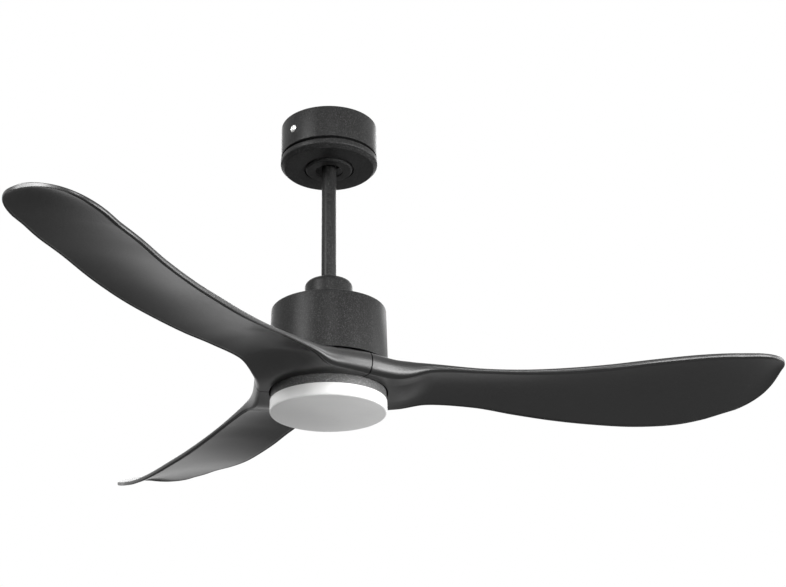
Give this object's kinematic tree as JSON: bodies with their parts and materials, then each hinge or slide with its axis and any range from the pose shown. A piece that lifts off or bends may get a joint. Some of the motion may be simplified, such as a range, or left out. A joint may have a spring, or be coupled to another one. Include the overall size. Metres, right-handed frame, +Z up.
{
  "type": "ceiling fan with light",
  "caption": "Dark ceiling fan with twisted moulded blades on a flush hub, a round opal light beneath, a downrod, coupler cover, drum motor housing and cylindrical canopy.",
  "frame": {"origin": "centre of the mounting bracket's top face, where it meets the ceiling", "axes": "+Z up along the downrod; +X to the right and +Y away from the viewer as pictured; the blade to the right lies 1.4 degrees from +X"},
  "size_m": [1.05, 1.1861, 0.4808],
  "materials": {
    "dark_paint": "satin, fine dark-grey powder coat",
    "pan_paint": "satin, fine dark-grey powder coat",
    "blade_black": "matte moulded black",
    "opal_white": "translucent opal white",
    "steel": "bare steel",
    "zinc": "bright zinc plate",
    "casting": "as cast",
    "lamination": "varnished electrical steel",
    "magnet": "dark sintered ferrite",
    "copper": "enamelled copper wire",
    "nylon_black": "matte black nylon",
    "cream_plastic": "matte cream",
    "board_green": "green solder mask",
    "board_white": "white solder mask",
    "sheath": "black sheath"
  },
  "bodies": {
    "ceiling": {"mounting_bracket": "steel", "terminal_block": "cream_plastic", "terminal_screw": "zinc", "canopy": "dark_paint", "canopy_collar": "dark_paint", "canopy_screw_1": "zinc", "canopy_screw_2": "zinc"},
    "hanging": {"hanger_ball": "nylon_black", "ball_cross_pin": "zinc", "downrod": "dark_paint", "rod_coupler": "steel", "clevis_pin": "zinc", "clevis_clip": "zinc", "coupler_set_screw": "zinc", "motor_shaft": "steel", "motor_housing": "dark_paint", "housing_screw_1": "zinc", "housing_screw_2": "zinc", "housing_screw_3": "zinc", "stator_core": "lamination", "winding_1": "copper", "winding_2": "copper", "winding_3": "copper", "winding_4": "copper", "winding_5": "copper", "winding_6": "copper", "winding_7": "copper", "winding_8": "copper", "winding_9": "copper", "control_board": "board_green", "board_capacitor": "nylon_black", "motor_lead": "sheath", "bearing_upper_inner": "steel", "bearing_lower_inner": "steel", "light_pan": "pan_paint", "pan_nut": "zinc", "led_driver": "cream_plastic", "led_board": "board_white", "led_screw_1": "zinc", "led_screw_2": "zinc", "led_screw_3": "zinc"},
    "cover": {"coupling_cover": "dark_paint"},
    "rotor": {"bearing_upper_outer": "steel", "bearing_lower_outer": "steel", "rotor_hub": "casting", "rotor_cap": "casting", "back_iron": "steel", "magnet_ring": "magnet", "blade_1": "blade_black", "blade_2": "blade_black", "blade_3": "blade_black", "blade_screw_1": "zinc", "blade_screw_2": "zinc", "blade_screw_3": "zinc", "blade_screw_4": "zinc", "blade_screw_5": "zinc", "blade_screw_6": "zinc"},
    "diffuser": {"diffuser": "opal_white"}
  },
  "joints": [
    {"name": "ball_tilt", "type": "hinge", "parent": "ceiling", "child": "hanging", "pos_m": [0, 0, -0.03794], "axis": [1, 0, 0], "range_deg": [-12, 12]},
    {"name": "coupling_cover_slide", "type": "slide", "parent": "hanging", "child": "cover", "axis": [0, 0, 1], "range_m": [0, 0.15]},
    {"name": "fan_spin", "type": "hinge", "parent": "hanging", "child": "rotor", "pos_m": [0, 0, -0.362], "axis": [0, 0, 1], "continuous": true},
    {"name": "diffuser_twist", "type": "hinge", "parent": "hanging", "child": "diffuser", "pos_m": [0, 0, -0.4568], "axis": [0, 0, 1], "range_deg": [0, 20]}
  ]
}
